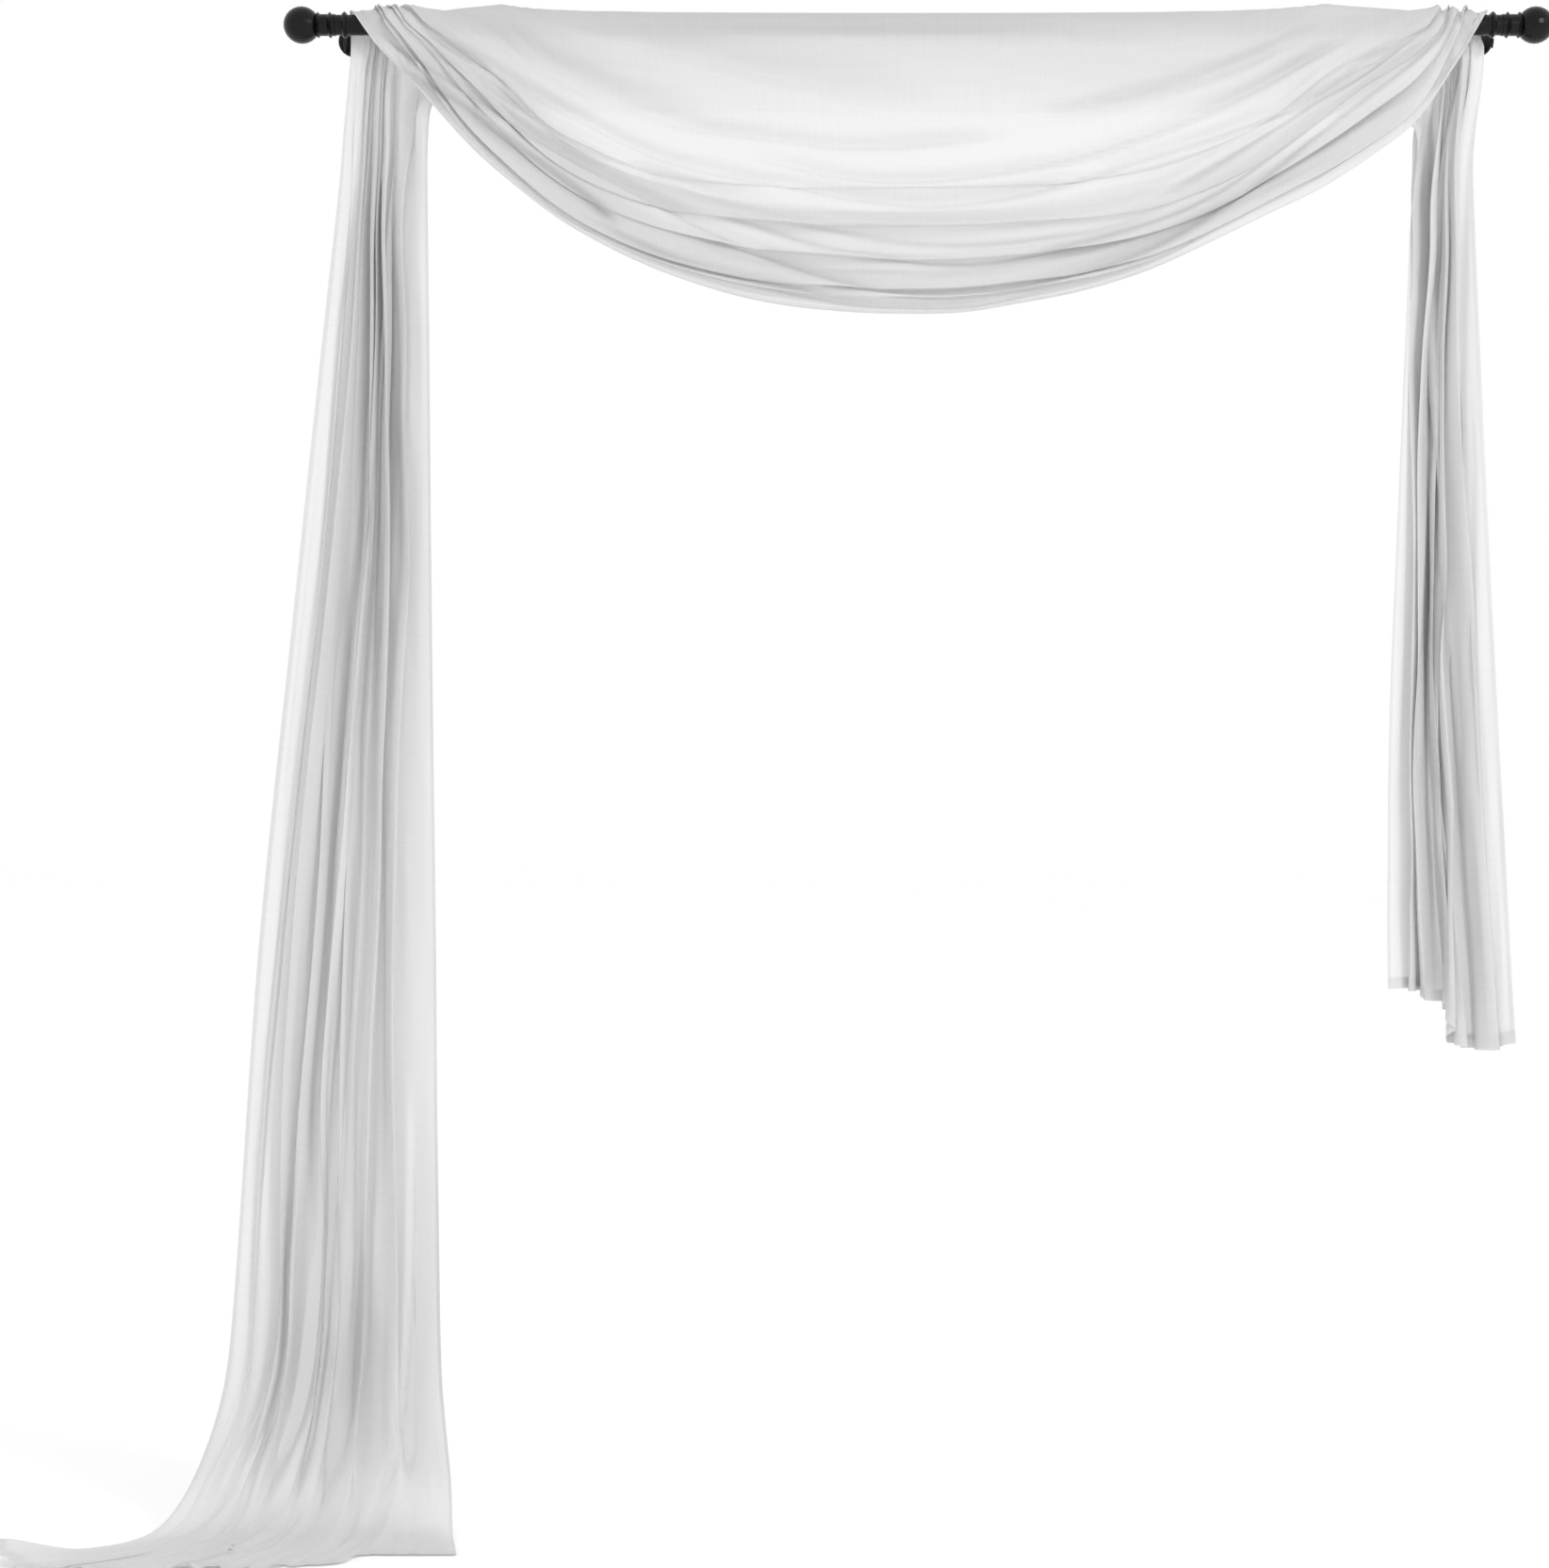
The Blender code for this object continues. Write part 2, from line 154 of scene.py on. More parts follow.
# Scarf
# One length of polyester voile, 37 inches wide, hung over the rod without a tie: the inner selvedge
# stays behind the rod between the tails, and the outer one falls in front as the swag.
CLOTH_WIDTH = 0.94
FLOOR_Z = -2.077
WRAP_RADIUS = 0.0164
FLOOR_BEND_RADIUS = 0.065
FLOOR_FOLD_HEIGHT = 0.022
FLOOR_CLEARANCE = 0.0015
MOST_FOLD_ANGLE = math.radians(91)
HIGHEST_TRIED_ANGLE = 2.2
ANGLE_HALVINGS = 30
TURN_SOFTNESS = 0.14
TURN_PARTS = 12
FOLD_WOBBLE = 0.05
WOBBLE_STEP = 2.4
WOBBLE_RATE = 5.0
BUNCH_LIFT = 0.003
BUNCH_RATE = 1.3
SWAG_BELLY = 0.022
SWAG_BELLY_RUN = 0.4
LEFT_HEM_STATIONS = 4
RIGHT_HEM_STATIONS = 3
HEM_CORNER = {"reach": 0.4, "drop": 0.9}
ROW_SPACING = 0.021

WALL_CURVE = WRAP_RADIUS * math.pi / 2
BEND_TOP_Z = FLOOR_Z + FLOOR_BEND_RADIUS + FLOOR_FOLD_HEIGHT + FLOOR_CLEARANCE

# A station is one line straight across the scarf, from its inner selvedge to its outer one.
# A run is the distance from the top of the rod: in front of it above zero, behind it below zero.
# A look picks a column of the fold table: 0 is on the floor, 1 in the left tail, and so on to 5 in
# the right tail. A look between two of them blends the two.
FIRST_LOOK = 0.0
SWAG_LOOK = 3.0
LAST_LOOK = 5.0
Station = namedtuple("Station", "look x_in run_in x_out run_out")
STATIONS = [
    Station(0.0, 0.168, -2.200, -0.452, -2.185),
    Station(0.2, 0.162, -2.160, -0.372, -2.170),
    Station(0.3, 0.156, -2.125, -0.305, -2.150),
    Station(0.4, 0.150, -2.085, -0.260, -2.115),
    Station(0.5, 0.144, -2.030, -0.222, -2.050),
    Station(0.6, 0.137, -1.960, -0.188, -1.970),
    Station(0.7, 0.131, -1.890, -0.168, -1.890),
    Station(0.8, 0.127, -1.760, -0.155, -1.760),
    Station(1.0, 0.123, -1.294, -0.122, -1.294),
    Station(1.0, 0.117, -0.822, -0.073, -0.822),
    Station(1.0, 0.113, -0.380, -0.026, -0.380),
    Station(1.2, 0.111, -0.225, -0.010, -0.235),
    Station(1.4, 0.112, -0.155, -0.004, -0.160),
    Station(1.5, 0.113, -0.122, 0.000, -0.105),
    Station(1.6, 0.116, -0.110, 0.001, -0.064),
    Station(1.7, 0.121, -0.107, 0.007, -0.040),
    Station(1.8, 0.129, -0.109, 0.007, 0.000),
    Station(1.9, 0.139, -0.116, 0.026, 0.032),
    Station(2.0, 0.151, -0.126, 0.062, 0.076),
    Station(2.0, 0.165, -0.137, 0.111, 0.132),
    Station(2.1, 0.188, -0.141, 0.176, 0.200),
    Station(2.25, 0.216, -0.143, 0.238, 0.254),
    Station(2.5, 0.264, -0.143, 0.309, 0.307),
    Station(2.7, 0.334, -0.143, 0.412, 0.361),
    Station(2.85, 0.425, -0.143, 0.515, 0.398),
    Station(2.95, 0.525, -0.143, 0.598, 0.417),
    Station(3.0, 0.640, -0.143, 0.688, 0.427),
    Station(3.0, 0.760, -0.143, 0.766, 0.430),
    Station(3.0, 0.880, -0.143, 0.848, 0.428),
    Station(3.05, 0.985, -0.143, 0.930, 0.415),
    Station(3.12, 1.085, -0.143, 1.012, 0.399),
    Station(3.25, 1.175, -0.143, 1.097, 0.373),
    Station(3.4, 1.250, -0.143, 1.183, 0.335),
    Station(3.6, 1.315, -0.143, 1.265, 0.295),
    Station(3.85, 1.368, -0.143, 1.346, 0.255),
    Station(4.0, 1.410, -0.144, 1.427, 0.202),
    Station(4.0, 1.438, -0.147, 1.470, 0.171),
    Station(4.0, 1.459, -0.145, 1.506, 0.131),
    Station(4.1, 1.470, -0.146, 1.540, 0.078),
    Station(4.2, 1.478, -0.149, 1.564, 0.035),
    Station(4.3, 1.483, -0.155, 1.5765, 0.000),
    Station(4.4, 1.485, -0.166, 1.575, -0.040),
    Station(4.5, 1.485, -0.183, 1.570, -0.085),
    Station(4.6, 1.483, -0.208, 1.562, -0.140),
    Station(4.8, 1.478, -0.252, 1.561, -0.215),
    Station(5.0, 1.473, -0.335, 1.565, -0.325),
    Station(5.0, 1.459, -0.665, 1.580, -0.665),
    Station(5.0, 1.446, -0.980, 1.596, -0.980),
    Station(5.0, 1.443, -1.230, 1.612, -1.230),
    Station(5.0, 1.443, -1.310, 1.617, -1.310),
    Station(5.0, 1.444, -1.357, 1.621, -1.357),
]

# A fold takes its share of the scarf's width. Its other numbers say how full it is beside the rest,
# on the floor, in the left tail, over the rod at the left, in the swag, over the rod at the right
# and in the right tail. Then come how far the cloth between it and the next fold stands off, and how
# far it reaches forward at the left hem and down at the right hem.
Fold = namedtuple("Fold", "share floor tail_left rod_left swag rod_right tail_right lift reach drop")
FOLDS = [
    Fold(0.150, 0.60, 0.86, 0.90, 0.06, 0.90, 0.96, 0.000, 0.000, 0.000),
    Fold(0.180, 0.95, 1.00, 0.60, 0.16, 0.62, 1.04, 0.000, 0.050, 0.004),
    Fold(0.125, 1.00, 0.88, 0.90, 0.60, 0.95, 0.88, 0.012, 0.085, 0.018),
    Fold(0.125, 0.90, 1.06, 1.00, 0.95, 1.00, 1.00, 0.002, 0.074, 0.032),
    Fold(0.120, 1.05, 0.88, 1.05, 0.88, 0.90, 1.06, 0.014, 0.094, 0.080),
    Fold(0.140, 1.00, 1.06, 0.95, 1.02, 1.10, 0.90, 0.000, 0.078, 0.088),
    Fold(0.105, 0.95, 0.92, 1.05, 0.98, 1.05, 1.04, 0.010, 0.088, 0.088),
    Fold(0.055, 0.60, 0.90, 0.40, 0.55, 0.35, 0.80, 0.000, 0.070, 0.084),
]

# How deep the folds stand and how far they lean over each other, by the run from the rod's top
Lay = namedtuple("Lay", "run depth lean")
LAYS = [
    Lay(-2.160, 0.20, 1.20),
    Lay(-2.080, 0.24, 1.10),
    Lay(-1.980, 0.80, 1.00),
    Lay(-1.880, 1.00, 1.00),
    Lay(-1.650, 0.72, 1.10),
    Lay(-0.350, 0.70, 1.15),
    Lay(-0.140, 0.48, 1.10),
    Lay(-0.030, 0.15, 1.30),
    Lay(0.030, 0.15, 1.90),
    Lay(0.160, 0.50, 1.40),
    Lay(0.430, 0.62, 1.20),
]


def blend_rows(rows, knots, place, column):
    """The value of one column at a place between the rows, on a smooth curve through them."""
    last = len(rows) - 1
    first = max(i for i in range(last) if knots[i] <= place or i == 0)
    low, high = knots[first], knots[first + 1]
    values = [getattr(rows[i], column) for i in (first, first + 1)]

    def slope(i):
        before, after = max(i - 1, 0), min(i + 1, last)
        rise = getattr(rows[after], column) - getattr(rows[before], column)
        return rise / (knots[after] - knots[before])

    u = (place - low) / (high - low)
    span = high - low
    start = (2 * u**3 - 3 * u**2 + 1) * values[0] + (u**3 - 2 * u**2 + u) * span * slope(first)
    end = (3 * u**2 - 2 * u**3) * values[1] + (u**3 - u**2) * span * slope(first + 1)
    return start + end


def smooth(share):
    """A share from 0 to 1 with its ends eased, so that it starts and stops without a corner."""
    return share * share * (3 - 2 * share)


def lay_at(run, column):
    """The depth or the lean of the folds at this run, eased from each row of the table to the next."""
    run = min(max(run, LAYS[0].run), LAYS[-1].run)
    for low, high in zip(LAYS, LAYS[1:]):
        if run <= high.run:
            break
    share = smooth((run - low.run) / (high.run - low.run))
    return getattr(low, column) * (1 - share) + getattr(high, column) * share


def station_knots():
    """How far along the scarf each station lies, halfway between its selvedges."""
    knots = [0.0]
    for before, after in zip(STATIONS, STATIONS[1:]):
        inner = math.hypot(after.x_in - before.x_in, after.run_in - before.run_in)
        outer = math.hypot(after.x_out - before.x_out, after.run_out - before.run_out)
        knots.append(knots[-1] + (inner + outer) / 2)
    return knots


def turn_shape(part):
    """The direction of the cloth through one fold, from -1 to 1: a sine with flattened sides."""
    wave = math.sin(2 * math.pi * part)
    return wave * math.sqrt(1 + TURN_SOFTNESS**2) / math.sqrt(wave**2 + TURN_SOFTNESS**2)


TURN = [turn_shape((i + 0.5) / TURN_PARTS) for i in range(TURN_PARTS)]


def fullness(look):
    """How full each fold is, blended between the two columns of the fold table beside look."""
    columns = ("floor", "tail_left", "rod_left", "swag", "rod_right", "tail_right")
    first = min(int(look), len(columns) - 2)
    share = smooth(look - first)
    return [
        getattr(fold, columns[first]) * (1 - share) + getattr(fold, columns[first + 1]) * share
        for fold in FOLDS
    ]


def parts_across():
    """How far across the flat cloth each point of a line lies, from 0 to 1."""
    parts = [0.0]
    for fold in FOLDS:
        for _ in range(TURN_PARTS):
            parts.append(parts[-1] + fold.share / TURN_PARTS)
    return parts


PARTS_ACROSS = parts_across()


def chord(angles):
    """How wide the folded cloth is for these fold angles."""
    return sum(
        CLOTH_WIDTH * fold.share * sum(math.cos(angle * turn) for turn in TURN) / TURN_PARTS
        for fold, angle in zip(FOLDS, angles)
    )


def fold_angles(look, width, place):
    """The angles that draw the whole cloth in to this width, in the fold table's proportions."""
    wobbles = [math.sin(WOBBLE_STEP * i + WOBBLE_RATE * place) for i in range(len(FOLDS))]
    full = [value * (1 + FOLD_WOBBLE * wobble) for value, wobble in zip(fullness(look), wobbles)]
    low, high = 0.0, HIGHEST_TRIED_ANGLE
    for _ in range(ANGLE_HALVINGS):
        middle = (low + high) / 2
        angles = [min(middle * f, MOST_FOLD_ANGLE) for f in full]
        if chord(angles) > width:
            low = middle
        else:
            high = middle
    return angles


def folded_line(look, width, place):
    """Points (across, out, middle) of the folded cloth on one line across the scarf.

    Across runs from 0 to 1 over the folded width, out is how far the point stands off, and middle
    is where the point's own fold has its middle.
    """
    angles = fold_angles(look, width, place)
    total = chord(angles)
    across = out = lift_before = 0.0
    points = [(0.0, 0.0, 0.0)]
    for fold, angle in zip(FOLDS, angles):
        length = CLOTH_WIDTH * fold.share / TURN_PARTS
        steps = [(length * math.cos(angle * turn), length * math.sin(angle * turn)) for turn in TURN]
        middle = across + sum(x for x, _ in steps) / 2
        for i, (x, rise) in enumerate(steps):
            across += x
            out = max(out + rise, 0.0)
            lift = lift_before + (fold.lift - lift_before) * (i + 1) / TURN_PARTS
            points.append((across / total, out + lift, middle / total))
        lift_before = fold.lift
    return points


def hem_offset(part, column):
    """A hem's reach or drop at a place across the cloth, from the fold table's middles."""
    places = [0.0]
    values = [0.0]
    done = 0.0
    for fold in FOLDS:
        places.append(done + fold.share / 2)
        values.append(getattr(fold, column))
        done += fold.share
    places.append(1.0)
    values.append(values[-1] * HEM_CORNER[column])
    for i in range(len(places) - 1):
        if part <= places[i + 1] or i == len(places) - 2:
            break
    share = smooth((part - places[i]) / (places[i + 1] - places[i]))
    return values[i] * (1 - share) + values[i + 1] * share


def hang(x, run, out):
    """The place of the cloth at this run over the rod, standing out from it by out."""
    rod_y = -ROD_OFF_WALL
    if abs(run) < WALL_CURVE:
        angle = run / WRAP_RADIUS
        radius = WRAP_RADIUS + out
        return (x, rod_y - radius * math.sin(angle), radius * math.cos(angle))
    if run > 0:
        return (x, rod_y - WRAP_RADIUS - out, WALL_CURVE - run)
    z = WALL_CURVE + run
    if z > BEND_TOP_Z:
        return (x, rod_y + WRAP_RADIUS + out, z)
    bend_y = rod_y + WRAP_RADIUS - FLOOR_BEND_RADIUS
    angle = min((BEND_TOP_Z - z) / FLOOR_BEND_RADIUS, math.pi / 2)
    forward = max(BEND_TOP_Z - z - FLOOR_BEND_RADIUS * math.pi / 2, 0.0)
    radius = FLOOR_BEND_RADIUS + out
    return (x, bend_y + radius * math.cos(angle) - forward, BEND_TOP_Z - radius * math.sin(angle))


def scarf_row(knots, place):
    """One row of points across the scarf. In the tails the folds lean towards the tail's middle."""
    look, x_in, run_in, x_out, run_out = (
        blend_rows(STATIONS, knots, place, column) for column in Station._fields
    )
    look = min(max(look, FIRST_LOOK), LAST_LOOK)
    bunched = min(BUNCH_RATE * abs(look - SWAG_LOOK), 1.0)
    in_tail = min(max(abs(look - SWAG_LOOK) - 1, 0.0), 1.0) * min(look, 1.0)
    width = math.hypot(x_out - x_in, run_out - run_in)
    at_left_hem = max(1 - place / knots[LEFT_HEM_STATIONS], 0.0)
    right_hem_start = knots[-1 - RIGHT_HEM_STATIONS]
    at_right_hem = max(1 - (knots[-1] - place) / (knots[-1] - right_hem_start), 0.0)
    row = []
    for part, (across, out, middle) in zip(PARTS_ACROSS, folded_line(look, width, place)):
        run = run_in + (run_out - run_in) * middle
        out *= lay_at(run, "depth")
        across += lay_at(run, "lean") * (1 - 2 * in_tail * middle) * out / width
        x = x_in + (x_out - x_in) * across
        run = run_in + (run_out - run_in) * across
        run -= at_left_hem * hem_offset(part, "reach") + at_right_hem * hem_offset(part, "drop")
        out += SWAG_BELLY * smooth(min(max(run / SWAG_BELLY_RUN, 0.0), 1.0)) + BUNCH_LIFT * bunched
        row.append(hang(x, run, out))
    return row


def scarf_grid():
    """The scarf's points, as rows across it, and each row's distance from the left hem."""
    knots = station_knots()
    count = round(knots[-1] / ROW_SPACING)
    places = [knots[-1] * i / count for i in range(count + 1)]
    return np.array([scarf_row(knots, place) for place in places]), np.array(places)


def grid_mesh(name, points, lengthwise, crosswise):
    """A sheet of quads through a grid of points, with its places on the flat cloth as a UV map."""
    rows, columns = points.shape[:2]
    index = np.arange(rows * columns).reshape(rows, columns)
    corners = np.stack([index[:-1, :-1], index[:-1, 1:], index[1:, 1:], index[1:, :-1]], axis=-1)
    corners = corners.reshape(-1, 4)
    mesh = bpy.data.meshes.new(name)
    mesh.from_pydata(points.reshape(-1, 3).tolist(), [], corners.tolist())
    flat = np.stack(np.meshgrid(crosswise, lengthwise), axis=-1).reshape(-1, 2)
    mesh.uv_layers.new(name="flat cloth").data.foreach_set("uv", flat[corners.ravel()].ravel())
    mesh.shade_smooth()
    sheet = bpy.data.objects.new(name, mesh)
    bpy.context.scene.collection.objects.link(sheet)
    return sheet


# The scarf settles for about half a second of gravity, so that its folds sag and slip together as
# real ones do. Where it lies on the rod it is held, and the rod and the floor push back. It is then
# softened, and its selvedges are put back in place, less and less so near the rod and the floor:
# each hold gives the distances between which that fades.
SETTLE_FRAMES = 14
SETTLE_QUALITY = 5
HELD_ABOVE_Z = 0.002
POINT_MASS = 0.02
AIR_DAMPING = 3.0
CLOTH_STIFFNESS = 12.0
SHEAR_STIFFNESS = CLOTH_STIFFNESS / 4
CLOTH_BENDING = 0.1
CLOTH_GAP = 0.0015
PUSHING_FLOOR_SIZE = 6.0
ROD_HOLD = (0.018, 0.20)
FLOOR_HOLD = (0.05, 0.40)
FLOOR_SOFTEN = 0.3
SOFTEN_PASSES = 6
ROD_CLEAR_RADIUS = 0.0150
WALL_GAP = 0.004


def eased(values, low, high):
    """From 0 at the low value to 1 at the high one, without a corner."""
    return smooth(np.clip((values - low) / (high - low), 0.0, 1.0))


def settled(points):
    """The grid of points after the cloth simulation, with its two selvedges put back in place."""
    rows, columns = points.shape[:2]
    sheet = grid_mesh("settling scarf", points, np.arange(rows), np.arange(columns))
    held = sheet.vertex_groups.new(name="on the rod")
    held.add(np.nonzero(points[..., 2].ravel() > HELD_ABOVE_Z)[0].tolist(), 1.0, "REPLACE")
    bpy.ops.mesh.primitive_plane_add(size=PUSHING_FLOOR_SIZE, location=(0.0, 0.0, FLOOR_Z))
    floor = bpy.context.object
    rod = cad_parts["rod"]
    pushers = [rod.copy(), floor]
    pushers[0].data = rod.data.copy()
    bpy.context.scene.collection.objects.link(pushers[0])
    for pusher in pushers:
        pusher.modifiers.new("push", "COLLISION")
        pusher.collision.thickness_outer = CLOTH_GAP
    cloth = sheet.modifiers.new("gravity", "CLOTH")
    cloth.settings.quality = SETTLE_QUALITY
    cloth.settings.mass = POINT_MASS
    cloth.settings.air_damping = AIR_DAMPING
    cloth.settings.tension_stiffness = CLOTH_STIFFNESS
    cloth.settings.compression_stiffness = CLOTH_STIFFNESS
    cloth.settings.shear_stiffness = SHEAR_STIFFNESS
    cloth.settings.bending_stiffness = CLOTH_BENDING
    cloth.settings.vertex_group_mass = held.name
    cloth.collision_settings.distance_min = CLOTH_GAP
    cloth.point_cache.frame_end = SETTLE_FRAMES
    for number in range(1, SETTLE_FRAMES + 1):
        bpy.context.scene.frame_set(number)
    graph = bpy.context.evaluated_depsgraph_get()
    moved = np.empty(rows * columns * 3, np.float32)
    sheet.evaluated_get(graph).data.vertices.foreach_get("co", moved)
    moved = moved.reshape(rows, columns, 3).astype(float)
    for helper in (sheet, *pushers):
        bpy.data.objects.remove(helper, do_unlink=True)
    bpy.context.scene.frame_set(1)

    across = np.linspace(0.0, 1.0, columns)[None, :, None]
    loose = eased(np.hypot(points[..., 1] + ROD_OFF_WALL, points[..., 2]), *ROD_HOLD)[..., None]
    height = (points[..., 2] - FLOOR_Z)[..., None]
    soften = loose * (FLOOR_SOFTEN + (1 - FLOOR_SOFTEN) * eased(height, *FLOOR_HOLD))
    for _ in range(SOFTEN_PASSES):
        beside = (moved[:-2] + moved[2:]) / 2
        moved[1:-1] += 0.5 * soften[1:-1] * (beside - moved[1:-1])
    drift = moved - points
    pull = (1 - across) * drift[:, :1] + across * drift[:, -1:]
    pull *= loose
    pull[..., 2:] *= eased(height, *FLOOR_HOLD)
    return moved - pull


def resampled(points, at):
    """The grid's rows at these places between the given ones, on smooth curves through them."""
    first = np.clip(np.floor(at).astype(int), 0, len(points) - 2)
    u = (at - first)[:, None, None]
    before, after = points[np.maximum(first - 1, 0)], points[np.minimum(first + 2, len(points) - 1)]
    start, end = points[first], points[first + 1]
    bend = (2 * before - 5 * start + 4 * end - after) * u + (3 * (start - end) + after - before) * u**2
    return start + 0.5 * u * (end - before + bend)


def kept_clear(points):
    """The grid with every point outside the rod, in front of the wall and above the floor."""
    clear = points.copy()
    from_rod = points[..., 1:] - (-ROD_OFF_WALL, 0.0)
    radius = np.linalg.norm(from_rod, axis=-1)
    push = np.maximum(ROD_CLEAR_RADIUS / np.maximum(radius, 1e-6), 1.0)
    clear[..., 1:] = from_rod * push[..., None] + (-ROD_OFF_WALL, 0.0)
    clear[..., 1] = np.minimum(clear[..., 1], -WALL_GAP)
    clear[..., 2] = np.maximum(clear[..., 2], FLOOR_Z + FLOOR_CLEARANCE)
    return clear


# The main creases, each a trough pressed into the cloth towards the wall along a line of places
# across and up, as seen from the front. Its two sides fall off at their own widths, the one on the
# left hand of someone who walks the line first, and it dies out at its ends over a share of its
# length.
Crease = namedtuple("Crease", "depth left right ends line")
SWAG_CREASES = [
    Crease(0.018, 0.030, 0.012, 0.25, [(0.26, 0.005), (0.41, -0.024), (0.59, -0.072), (0.82, -0.122)]),
    Crease(0.016, 0.024, 0.010, 0.25, [(0.15, -0.002), (0.27, -0.048), (0.40, -0.115), (0.49, -0.132)]),
    Crease(
        0.016, 0.012, 0.004, 0.25,
        [(0.40, -0.130), (0.49, -0.149), (0.59, -0.162), (0.70, -0.174), (0.82, -0.167), (0.94, -0.150)],
    ),
    Crease(
        0.016, 0.010, 0.004, 0.15,
        [
            (0.52, -0.176), (0.68, -0.214), (0.80, -0.220), (0.97, -0.198), (1.10, -0.160),
            (1.21, -0.114), (1.33, -0.050), (1.44, 0.010),
        ],
    ),
    Crease(
        0.019, 0.012, 0.004, 0.05,
        [
            (0.08, 0.002), (0.16, -0.043), (0.26, -0.100), (0.39, -0.170), (0.46, -0.198),
            (0.59, -0.225), (0.78, -0.252), (0.93, -0.239), (1.10, -0.190), (1.27, -0.133),
            (1.39, -0.078), (1.50, 0.006),
        ],
    ),
    Crease(
        0.012, 0.011, 0.006, 0.10,
        [
            (0.05, -0.001), (0.13, -0.048), (0.31, -0.155), (0.48, -0.232), (0.63, -0.276),
            (0.82, -0.305), (1.02, -0.290), (1.16, -0.242),
        ],
    ),
    Crease(
        0.017, 0.011, 0.004, 0.10,
        [
            (0.54, -0.275), (0.69, -0.318), (0.88, -0.333), (1.09, -0.284), (1.21, -0.230),
            (1.33, -0.142), (1.40, -0.095), (1.52, 0.003),
        ],
    ),
    Crease(
        0.024, 0.014, 0.004, 0.04,
        [
            (0.03, -0.001), (0.17, -0.100), (0.29, -0.177), (0.41, -0.245), (0.54, -0.310),
            (0.67, -0.359), (0.80, -0.379), (0.95, -0.365), (1.10, -0.319), (1.23, -0.242),
            (1.33, -0.159), (1.47, -0.052), (1.53, 0.003),
        ],
    ),
    Crease(
        0.016, 0.005, 0.010, 0.12,
        [(0.06, -0.046), (0.11, -0.082), (0.18, -0.129), (0.24, -0.177), (0.33, -0.242), (0.38, -0.284)],
    ),
    Crease(
        0.013, 0.005, 0.007, 0.20,
        [
            (0.30, -0.261), (0.41, -0.314), (0.50, -0.345), (0.63, -0.374), (0.74, -0.392),
            (0.87, -0.390), (0.97, -0.368),
        ],
    ),
    Crease(
        0.017, 0.008, 0.010, 0.20,
        [(0.92, -0.139), (1.07, -0.106), (1.18, -0.074), (1.25, -0.048), (1.31, -0.017), (1.36, 0.010)],
    ),
    Crease(
        0.012, 0.007, 0.004, 0.20,
        [(1.10, -0.262), (1.21, -0.190), (1.33, -0.112), (1.42, -0.046), (1.48, 0.002)],
    ),
]
TAIL_CREASES = [
    Crease(
        0.030, 0.007, 0.022, 0.28,
        [(-0.07, -1.50), (-0.09, -1.72), (-0.10, -1.87), (-0.13, -1.96), (-0.17, -2.05), (-0.21, -2.10)],
    ),
    Crease(
        0.038, 0.006, 0.022, 0.28,
        [(-0.03, -1.48), (-0.04, -1.70), (-0.06, -1.88), (-0.09, -1.98), (-0.13, -2.06), (-0.16, -2.10)],
    ),
    Crease(
        0.032, 0.006, 0.024, 0.28,
        [(-0.01, -1.50), (-0.03, -1.68), (-0.05, -1.86), (-0.06, -1.96), (-0.08, -2.04), (-0.11, -2.10)],
    ),
    Crease(
        0.043, 0.006, 0.028, 0.28,
        [(0.03, -1.45), (0.02, -1.68), (0.01, -1.86), (-0.01, -1.97), (-0.04, -2.05), (-0.07, -2.10)],
    ),
    Crease(
        0.046, 0.030, 0.006, 0.28,
        [(0.09, -1.45), (0.09, -1.70), (0.08, -1.87), (0.07, -1.98), (0.04, -2.06), (0.02, -2.10)],
    ),
]
CREASE_STEP = 0.005
CREASE_FRONT_Y = -0.097
SWAG_BOTTOM_Z = -0.5
CREASE_ROD_FADE = (-0.002, 0.060)
SWAG_CREASE_MOST = 0.024
TAIL_CREASE_MOST = 0.060
TAIL_CREASE_TOP_Z = -1.4


def creased(points, creases, part, most):
    """The grid with these creases pressed into a part of it, together no deeper than most.

    The part is given as true or false for each point.
    """
    place = points[part][:, (0, 2)]
    press = np.zeros(len(place))
    for crease in creases:
        corners = np.array(crease.line)
        count = int(np.linalg.norm(np.diff(corners, axis=0), axis=1).sum() / CREASE_STEP)
        line = resampled(corners[:, None, :], np.linspace(0, len(corners) - 1, count))[:, 0]
        along = np.gradient(line, axis=0)
        square = np.stack([-along[:, 1], along[:, 0]], axis=1)
        square /= np.linalg.norm(square, axis=1, keepdims=True)
        away = place[:, None, :] - line[None]
        nearest = (away**2).sum(axis=-1).argmin(axis=1)
        away = away[np.arange(len(place)), nearest]
        side = (away * square[nearest]).sum(axis=1)
        beyond = np.maximum(np.linalg.norm(away, axis=1) - np.abs(side), 0.0)
        width = np.where(side > 0, crease.left, crease.right)
        ends = np.minimum(nearest, count - 1 - nearest) / (count - 1)
        fade = eased(ends, 0.0, crease.ends) * (beyond < 2 * CREASE_STEP)
        press += crease.depth * np.exp(-((side / width) ** 2)) * fade
    press = most * np.tanh(press / most) * eased(-place[:, 1], *CREASE_ROD_FADE)
    pressed = points.copy()
    pressed[part, 1] += press
    return pressed


# Real voile has threads about 0.3 mm apart, too fine to show from four metres, so its thicker
# threads are drawn as streaks ten times as wide, along the cloth and across it.
VOILE_WHITE = "e6e6e6"
VOILE_SHADE = "e1e1e1"
VOILE_ROUGHNESS = 0.8
VOILE_SHEEN = 0.08
VOILE_SHINE = 0.25
SLUB_LENGTH = 0.12
SLUB_WIDTH = 0.0035
SLUB_HEIGHT = 0.0003
SINGLE_LAYER_COVER = 0.95
COVER_CHANGE = 0.015
GLOW = 0.36


